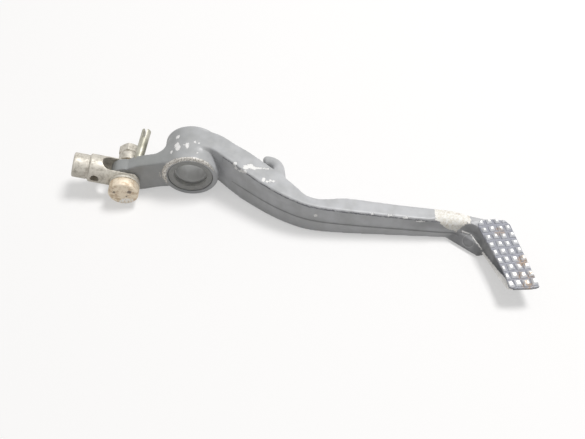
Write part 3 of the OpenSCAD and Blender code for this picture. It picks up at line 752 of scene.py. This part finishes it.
def patches(tree, place, scale, detail, roughness, low, high, to_low=0.0, to_high=1.0):
    """Noise at a scale per metre, carried from low..high to to_low..to_high."""
    value = noise(tree, place, scale, detail, roughness)
    return ramp_between(tree, value, low, high, to_low, to_high)


def new_group(name, ins, outs):
    """Node group with named float or vector inputs and outputs."""
    group = bpy.data.node_groups.new(name, "ShaderNodeTree")
    for label, kind, value in ins:
        socket = group.interface.new_socket(label, in_out="INPUT", socket_type=kind)
        if value is not None:
            socket.default_value = value
    for label, kind in outs:
        group.interface.new_socket(label, in_out="OUTPUT", socket_type=kind)
    return group, group.nodes.new("NodeGroupInput"), group.nodes.new("NodeGroupOutput")


def use_group(tree, group, inputs):
    """The group placed in a material with its own values."""
    return add(tree, "ShaderNodeGroup", inputs, node_tree=group)


def rgb(r, g, b):
    """Colour for a socket, from linear red, green and blue."""
    return (r, g, b, 1.0)


def coat(tree, tone, mask, strength, colour):
    """The tone with a colour laid over it where the mask is, at a strength."""
    share = maths(tree, "MULTIPLY", mask, strength, clamp=True)
    return blend_colour(tree, share, tone, rgb(*colour))


def seen_rays(tree):
    """1 for rays that look straight at a surface, or through a reflection or glass."""
    rays = add(tree, "ShaderNodeLightPath")
    mirrored = maths(tree, "MAXIMUM", rays.outputs["Is Glossy Ray"],
                     rays.outputs["Is Transmission Ray"])
    return maths(tree, "MAXIMUM", rays.outputs["Is Camera Ray"], mirrored)


print("node helpers ready")

# %% Effect groups
FLOAT, VECTOR = "NodeSocketFloat", "NodeSocketVector"

cast_grain, g_in, g_out = new_group(
    "cast_grain", [("Position", VECTOR, None), ("Grain", FLOAT, 900.0)],
    [("Height", FLOAT), ("Mottle", FLOAT)])
fine = noise(cast_grain, g_in.outputs["Position"], g_in.outputs["Grain"], 4.0, 0.6)
wide = noise(cast_grain, g_in.outputs["Position"], 140.0, 3.0, 0.5)
cast_grain.links.new(maths(cast_grain, "ADD", maths(cast_grain, "MULTIPLY", fine, 0.5),
                           maths(cast_grain, "MULTIPLY", wide, 0.9)), g_out.inputs["Height"])
cast_grain.links.new(ramp_between(cast_grain, wide, 0.3, 0.7), g_out.inputs["Mottle"])

edge_wear_and_highlight, g_in, g_out = new_group(
    "edge_wear_and_highlight", [("Position", VECTOR, None), ("Bend", FLOAT, 0.0), ("Start", FLOAT, 0.04),
                  ("Spread", FLOAT, 0.03), ("Patch", FLOAT, 260.0)], [("Mask", FLOAT)])
patchy = noise(edge_wear_and_highlight, g_in.outputs["Position"], g_in.outputs["Patch"], 4.0, 0.65)
shifted = maths(edge_wear_and_highlight, "MULTIPLY_ADD", maths(edge_wear_and_highlight, "SUBTRACT", patchy, 0.5), 0.16,
                g_in.outputs["Bend"])
over = maths(edge_wear_and_highlight, "DIVIDE", maths(edge_wear_and_highlight, "SUBTRACT", shifted, g_in.outputs["Start"]),
             g_in.outputs["Spread"], clamp=True)
edge_wear_and_highlight.links.new(over, g_out.inputs["Mask"])

dust_film, g_in, g_out = new_group(
    "dust_film", [("Position", VECTOR, None), ("Amount", FLOAT, 0.4)], [("Mask", FLOAT)])
up = add(dust_film, "ShaderNodeSeparateXYZ",
         {"Vector": add(dust_film, "ShaderNodeNewGeometry").outputs["Normal"]}).outputs["Z"]
cloud = patches(dust_film, g_in.outputs["Position"], 420.0, 5.0, 0.7, 0.35, 0.75)
lying = ramp_between(dust_film, up, -0.2, 0.9, 0.35, 1.0)
dust_film.links.new(maths(dust_film, "MULTIPLY", maths(dust_film, "MULTIPLY", cloud, lying),
                          g_in.outputs["Amount"]), g_out.inputs["Mask"])
print("groups:", cast_grain.name, edge_wear_and_highlight.name, dust_film.name)

# %% [markdown]
# ## Materials
# Silver-grey paint over cast aluminium is the main finish. Where a chip has broken it, pale metal
# with a matt skin shows.

# %% Painted casting
def start_material(name):
    """Material with its tree, shader and Object coordinates."""
    material = bpy.data.materials.new(name)
    tree, shader = node_tree_of(material)
    place = add(tree, "ShaderNodeTexCoord").outputs["Object"]
    print("material:", name)
    return material, tree, shader, place


def attribute(tree, name):
    """Number stored on the mesh under this name."""
    return add(tree, "ShaderNodeAttribute", attribute_name=name).outputs["Fac"]


def set_roughness(tree, shader, mask, plain, changed, full=1):
    """Roughness that goes from plain to changed as the mask goes from 0 to full."""
    tree.links.new(ramp_between(tree, mask, 0, full, plain, changed), shader.inputs["Roughness"])


def set_bump(tree, shader, height, depth_mm, strength=1.0):
    """Bump of a depth in millimetres under the shader's normal."""
    bump = add(tree, "ShaderNodeBump",
               {"Strength": strength, "Distance": depth_mm * MM, "Height": height})
    tree.links.new(bump.outputs["Normal"], shader.inputs["Normal"])


paint, tree, shader, place = start_material("silver_grey_paint")
grain = use_group(tree, cast_grain, {"Position": place, "Grain": 1300.0})
bend = attribute(tree, "bend")
# Edge wear, which also lays a painted highlight along the edges
wear_and_highlight = use_group(tree, edge_wear_and_highlight, {"Position": place, "Bend": bend, "Start": 0.082,
                                   "Spread": 0.05, "Patch": 420.0})
dust = use_group(tree, dust_film, {"Position": place, "Amount": 0.22})


def torn_mask(tree, place, distance, scale, reach, detail=4.0):
    """1 inside a stored outline, 0 outside, with the outline torn by noise up to reach in mm."""
    torn = maths(tree, "MULTIPLY_ADD", noise(tree, place, scale, detail, 0.7), 2 * reach, -reach)
    return ramp_between(tree, maths(tree, "ADD", distance, torn), 0.12, -0.12)


chip_distance = maths(tree, "SUBTRACT", attribute(tree, "chip"), 0.12)
chip = torn_mask(tree, place, chip_distance, 1100.0, 1.1)
peeled = torn_mask(tree, place, attribute(tree, "peeled"), 650.0, 1.9, 5.0)
rubbed = torn_mask(tree, place, attribute(tree, "rubbed"), 1700.0, 1.3)
rim = torn_mask(tree, place, attribute(tree, "rim"), 900.0, 0.5)
parting = attribute(tree, "parting")
line = ramp_between(tree, maths(tree, "ABSOLUTE", parting), 0.42, 0.08)
below = maths(tree, "MULTIPLY_ADD", noise(tree, place, 900.0, 4.0, 0.7), 1.6,
              maths(tree, "SUBTRACT", attribute(tree, "crease"), 0.8))
from_row = maths(tree, "ABSOLUTE", maths(tree, "SUBTRACT", below, 0.75))
specks = maths(tree, "MULTIPLY", ramp_between(tree, from_row, 0.5, 0.2),
               patches(tree, place, 330.0, 4.0, 0.7, 0.38, 0.52))
ring = ramp_between(tree, maths(tree, "ABSOLUTE", attribute(tree, "round_mark")), 0.42, 0.12)
shade_and_dirt = attribute(tree, "shade_and_dirt")
shade_and_dirt_patches = maths(tree, "MULTIPLY", shade_and_dirt, patches(tree, place, 260.0, 4.0, 0.6, 0.15, 0.6, 0.7, 1.0))
# Painted shade: where the surface bends inwards it is darkened, as shade gathers in hollows
painted_hollow_shade = ramp_between(tree, bend, -0.015, -0.07)
rub_tone = blend_colour(tree, patches(tree, place, 1500.0, 3.0, 0.55, 0.35, 0.62),
                        rgb(0.36, 0.33, 0.28), rgb(0.86, 0.83, 0.78))
chip_tone = blend_colour(tree, noise(tree, place, 1500.0), rgb(0.86, 0.85, 0.83),
                         rgb(0.98, 0.97, 0.95))
undercoat = blend_colour(tree, patches(tree, place, 900.0, 4.0, 0.7, 0.4, 0.6),
                         rgb(0.82, 0.785, 0.70), rgb(0.97, 0.955, 0.92))
stain = patches(tree, place, 520.0, 5.0, 0.75, 0.53, 0.68)
cream = coat(tree, undercoat, stain, 0.7, (0.50, 0.38, 0.27))

# %% [markdown]
# ### Layers over the paint
# On the real casting, dust, grime, rubbed edges and bare metal lie one over another. Here the
# paint is also darker towards the tail, and painted shade in hollows and on the pad's flank and a
# painted highlight along the edges are laid in the same way. Each could be a shader of its own,
# mixed by a mask, but one shader whose colour is built up in order is simpler to export. So each
# layer here is a mask, a strength and a colour, and it covers the layers before it.

# %% Layers of the painted casting
tone = blend_colour(tree, grain.outputs["Mottle"], rgb(0.45, 0.455, 0.46), rgb(0.55, 0.555, 0.57))
for mask, strength, colour in (
        (ramp_between(tree, parting, 0.1, -0.3), 0.3, (0.50, 0.50, 0.50)),
        # painted shade in hollows, with the dark parting line
        (maths(tree, "MAXIMUM", painted_hollow_shade, line), 0.6, (0.10, 0.10, 0.10)),
        (dust.outputs["Mask"], 1.0, (0.62, 0.61, 0.58)),
        (specks, 0.8, (0.10, 0.10, 0.12)),
        # darker towards the tail end, most on faces that look up
        (attribute(tree, "darker_to_tail"), 1.0, (0.12, 0.13, 0.11)),
        # painted shade on the pad's flank and in the lug's hollow, and a darker band under the
        # arm's top edge
        (shade_and_dirt_patches, 0.85, (0.17, 0.17, 0.175)),
        # painted shadow, near black, on the flank towards the pad's tip
        (ramp_between(tree, shade_and_dirt, 1.0, 1.6), 0.8, (0.045, 0.055, 0.075)),
        (ring, 0.4, (0.45, 0.45, 0.445)),
        # worn edges, lighter, also a painted highlight along the arm's top edge
        (wear_and_highlight.outputs["Mask"], 0.6, (0.78, 0.78, 0.77)),
        (rim, 0.9, (0.93, 0.91, 0.88))):
    tone = coat(tree, tone, mask, strength, colour)
tone = blend_colour(tree, maths(tree, "MULTIPLY", rubbed, 0.9), tone, rub_tone)
tone = blend_colour(tree, chip, tone, chip_tone)
tone = blend_colour(tree, peeled, tone, cream)
tree.links.new(tone, shader.inputs["Base Color"])
polished = maths(tree, "MAXIMUM", rubbed, rim)
bare = maths(tree, "MAXIMUM", maths(tree, "MAXIMUM", chip, peeled), polished, clamp=True)
set_roughness(tree, shader, bare, 0.38, 0.55)
tree.links.new(maths(tree, "MULTIPLY", polished, 0.4), shader.inputs["Metallic"])
relief = maths(tree, "SUBTRACT", grain.outputs["Height"], maths(tree, "MULTIPLY", bare, 1.2))
grooves = maths(tree, "MULTIPLY", maths(tree, "ADD", line, ring), 2.0)
set_bump(tree, shader, maths(tree, "SUBTRACT", relief, grooves), 0.08)
pedal_body.data.materials.append(paint)
print("painted casting:", len(tree.nodes), "shader nodes")

# %% Bare toe pad
toe, tree, shader, place = start_material("bare_toe_metal")
grain = use_group(tree, cast_grain, {"Position": place, "Grain": 1800.0})
uneven = maths(tree, "SUBTRACT", noise(tree, place, 620.0, 4.0, 0.7), 0.5)
high = maths(tree, "MULTIPLY_ADD", uneven, 0.45, attribute(tree, "high"))
rust_near = ramp_between(tree, attribute(tree, "rusty"), 1.0, -1.0)
rust = maths(tree, "MULTIPLY", rust_near, patches(tree, place, 700.0, 5.0, 0.7, 0.42, 0.60))
tone = blend_colour(tree, ramp_between(tree, high, 0.0, 0.45), rgb(0.26, 0.265, 0.30),
                    rgb(0.68, 0.69, 0.715))
tone = blend_colour(tree, ramp_between(tree, high, 0.60, 0.95), tone, rgb(0.92, 0.91, 0.89))
tone = coat(tree, tone, rust, 0.75, (0.40, 0.26, 0.14))
tree.links.new(tone, shader.inputs["Base Color"])
tree.links.new(ramp_between(tree, high, 0.5, 0.9, 0.15, 0.55), shader.inputs["Metallic"])
set_roughness(tree, shader, grain.outputs["Mottle"], 0.50, 0.34)
set_bump(tree, shader, grain.outputs["Height"], 0.07)
toe_teeth.data.materials.append(toe)

# %% Plated steel
plate, tree, shader, place = start_material("worn_plating")
grain = use_group(tree, cast_grain, {"Position": place, "Grain": 2200.0})
stain = patches(tree, place, 420.0, 6.0, 0.7, 0.38, 0.72)
tone = blend_colour(tree, stain, rgb(0.65, 0.615, 0.545), rgb(0.40, 0.37, 0.315))
tree.links.new(tone, shader.inputs["Base Color"])
shader.inputs["Metallic"].default_value = 0.45
set_roughness(tree, shader, stain, 0.52, 0.68)
set_bump(tree, shader, grain.outputs["Height"], 0.03)
for piece in (clevis, washer, spacer, nut):
    piece.data.materials.append(plate)

# %% Zinc-plated pin
zinc, tree, shader, place = start_material("yellowed_zinc")
grain = use_group(tree, cast_grain, {"Position": place, "Grain": 2000.0})
head_face = pin_low[1]


def spot_mask(tree, place, dx, dz, size):
    """1 within a ragged spot on the pin's head, dx and dz in mm from its middle."""
    centre = (pin_x * MM + dx * MM, head_face * MM, pin_z * MM + dz * MM)
    away = add(tree, "ShaderNodeVectorMath", {0: place, 1: centre}, operation="DISTANCE")
    torn = maths(tree, "MULTIPLY_ADD", noise(tree, place, 1200.0, 4.0, 0.7), 2.0 * MM, -1.0 * MM)
    ragged = maths(tree, "ADD", away.outputs["Value"], torn)
    return ramp_between(tree, ragged, (size + 0.2) * MM, (size - 0.2) * MM)


rust = patches(tree, place, 380.0, 6.0, 0.75, 0.45, 0.62)
tone = blend_colour(tree, maths(tree, "MULTIPLY", rust, 0.8), rgb(0.90, 0.79, 0.63),
                    rgb(0.60, 0.46, 0.31))
small_spots = maths(tree, "MAXIMUM", spot_mask(tree, place, 3.4, 2.2, 1.1),
                    spot_mask(tree, place, 1.6, -1.0, 0.6))
dark = maths(tree, "MAXIMUM", spot_mask(tree, place, -4.1, 2.0, 0.7), small_spots)
tone = coat(tree, tone, dark, 0.8, (0.14, 0.11, 0.09))
flaked = maths(tree, "MULTIPLY", spot_mask(tree, place, 1.4, -6.4, 4.2),
               patches(tree, place, 900.0, 4.0, 0.7, 0.42, 0.55))
tone = blend_colour(tree, flaked, tone, rgb(0.95, 0.93, 0.89))
tree.links.new(tone, shader.inputs["Base Color"])
shader.inputs["Metallic"].default_value = 0.4
set_roughness(tree, shader, rust, 0.55, 0.7)
pits = maths(tree, "MULTIPLY", maths(tree, "ADD", dark, flaked), -1.0)
set_bump(tree, shader, maths(tree, "ADD", grain.outputs["Height"], pits), 0.06)
pin.data.materials.append(zinc)

# %% Dull steel, bush and rubber
dull, tree, shader, place = start_material("dull_post_steel")
grain = use_group(tree, cast_grain, {"Position": place, "Grain": 2000.0})
tone = blend_colour(tree, grain.outputs["Mottle"], rgb(0.25, 0.24, 0.185), rgb(0.53, 0.51, 0.43))
tree.links.new(tone, shader.inputs["Base Color"])
shader.inputs["Metallic"].default_value = 0.5
set_roughness(tree, shader, grain.outputs["Mottle"], 0.5, 0.4)
set_bump(tree, shader, grain.outputs["Height"], 0.04)
post.data.materials.append(dull)

oiled, tree, shader, place = start_material("oiled_bush")
grain = use_group(tree, cast_grain, {"Position": place, "Grain": 1500.0})
tone = blend_colour(tree, grain.outputs["Mottle"], rgb(0.62, 0.62, 0.61), rgb(0.76, 0.76, 0.75))
tree.links.new(tone, shader.inputs["Base Color"])
shader.inputs["Metallic"].default_value = 0.3
set_roughness(tree, shader, grain.outputs["Mottle"], 0.55, 0.42)
set_bump(tree, shader, grain.outputs["Height"], 0.02)
nodes["pivot_bush"].data.materials.clear()
nodes["pivot_bush"].data.materials.append(oiled)

rubber, tree, shader, place = start_material("dusty_rubber")
dust = use_group(tree, dust_film, {"Position": place, "Amount": 0.8})
tone = blend_colour(tree, noise(tree, place, 700.0), rgb(0.27, 0.27, 0.26), rgb(0.36, 0.36, 0.35))
tone = blend_colour(tree, dust.outputs["Mask"], tone, rgb(0.55, 0.545, 0.51))
tree.links.new(tone, shader.inputs["Base Color"])
set_roughness(tree, shader, dust.outputs["Mask"], 0.45, 0.8, 0.6)
set_bump(tree, shader, noise(tree, place, 1600.0), 0.03)
for piece in (near_seal, far_seal):
    piece.data.materials.append(rubber)
print("materials:", [m.name for m in bpy.data.materials])

# %% [markdown]
# ## Floor, light and camera
# The floor looks white to the camera and to reflections, but sends back less light, as the real
# table's surroundings do. Part of its white is a glow, which keeps it even, and the rest is lit,
# so that the pedal still throws a shadow on it. One soft lamp, high on the right and a little
# behind the pedal, lights its top, so its near side is darker.

# %% Floor
floor_z = cad_box[0][2]
reach = 3.0
floor_mesh = bpy.data.meshes.new("table_top")
corners = [(-reach, -reach, floor_z), (reach, -reach, floor_z), (reach, reach, floor_z),
           (-reach, reach, floor_z)]
floor_mesh.from_pydata(corners, [], [(0, 1, 2, 3)])
table_top = bpy.data.objects.new("table_top", floor_mesh)
bpy.context.scene.collection.objects.link(table_top)
white = bpy.data.materials.new("table_white")
white.use_nodes = True
tree = white.node_tree
tree.nodes.clear()
seen = seen_rays(tree)
matt = add(tree, "ShaderNodeBsdfDiffuse",
           {"Color": blend_colour(tree, seen, rgb(0.62, 0.615, 0.61), rgb(0.99, 0.972, 0.962))})
glow = add(tree, "ShaderNodeEmission", {"Color": rgb(1.0, 1.0, 0.995), "Strength": 1.0})
glow_share = 0.45
surface = add(tree, "ShaderNodeMixShader", {0: maths(tree, "MULTIPLY", seen, glow_share),
                                            1: matt.outputs["BSDF"], 2: glow.outputs["Emission"]})
out = add(tree, "ShaderNodeOutputMaterial")
tree.links.new(surface.outputs["Shader"], out.inputs["Surface"])
floor_mesh.materials.append(white)
print("floor at", round(floor_z / MM, 2), "mm")

# %% Light
def soft_lamp(name, place, aim, width, height, watts):
    """Rectangular lamp at a place in metres, turned to aim at a point."""
    data = bpy.data.lights.new(name, "AREA")
    data.shape, data.size, data.size_y, data.energy = "RECTANGLE", width, height, watts
    lamp = bpy.data.objects.new(name, data)
    bpy.context.scene.collection.objects.link(lamp)
    lamp.location = place
    lamp.rotation_euler = (Vector(aim) - Vector(place)).to_track_quat("-Z", "Y").to_euler()
    print(name, "lamp:", width, "x", height, "m,", watts, "W")
    return lamp


soft_lamp("window", place=(0.60, 0.30, 1.50), aim=(0.05, -0.02, 0), width=0.50, height=0.44,
          watts=19.5)

world = bpy.data.worlds.new("studio")
bpy.context.scene.world = world
world.use_nodes = True
tree = world.node_tree
tree.nodes.clear()
seen = seen_rays(tree)
fill_light, seen_white = 0.33, 1.0
strength = ramp_between(tree, seen, 0, 1, fill_light, seen_white)
sky = add(tree, "ShaderNodeBackground", {"Color": rgb(1, 1, 1), "Strength": strength})
out = add(tree, "ShaderNodeOutputWorld")
tree.links.new(sky.outputs["Background"], out.inputs["Surface"])

# %% Camera
pitch, yaw, focal_px = radians(52.4), radians(0.8), 850.0
photo_w, photo_h, sensor_mm = 585, 439, 36.0
px_per_mm, hub_px = 2.04, (190.2, 176.8)     # scale at the hub's near face, and its middle
forward = Vector((-sin(yaw) * cos(pitch), cos(yaw) * cos(pitch), -sin(pitch)))
side = Vector((cos(yaw), sin(yaw), 0))
above = side.cross(forward)
hub_face = Vector((0, -10.9, 0)) * MM
depth = focal_px / px_per_mm * MM
across_by = (hub_px[0] - photo_w / 2) / focal_px
down_by = (hub_px[1] - photo_h / 2) / focal_px
eye = hub_face - depth * (forward + side * across_by - above * down_by)
camera_data = bpy.data.cameras.new("portrait")
camera_data.sensor_width = sensor_mm
camera_data.lens = focal_px / photo_w * sensor_mm
camera_data.clip_start = 0.01
camera = bpy.data.objects.new("portrait", camera_data)
bpy.context.scene.collection.objects.link(camera)
turned = Matrix((side, above, -forward)).transposed().to_4x4()
camera.matrix_world = Matrix.Translation(eye) @ turned
bpy.context.scene.camera = camera
print("camera at", [round(v, 4) for v in eye], "lens", round(camera_data.lens, 2))

# %% [markdown]
# ## Finish
# The colours are shown as they are.

# %% Finish
bpy.context.scene.view_settings.view_transform = "Standard"
bpy.context.view_layer.update()
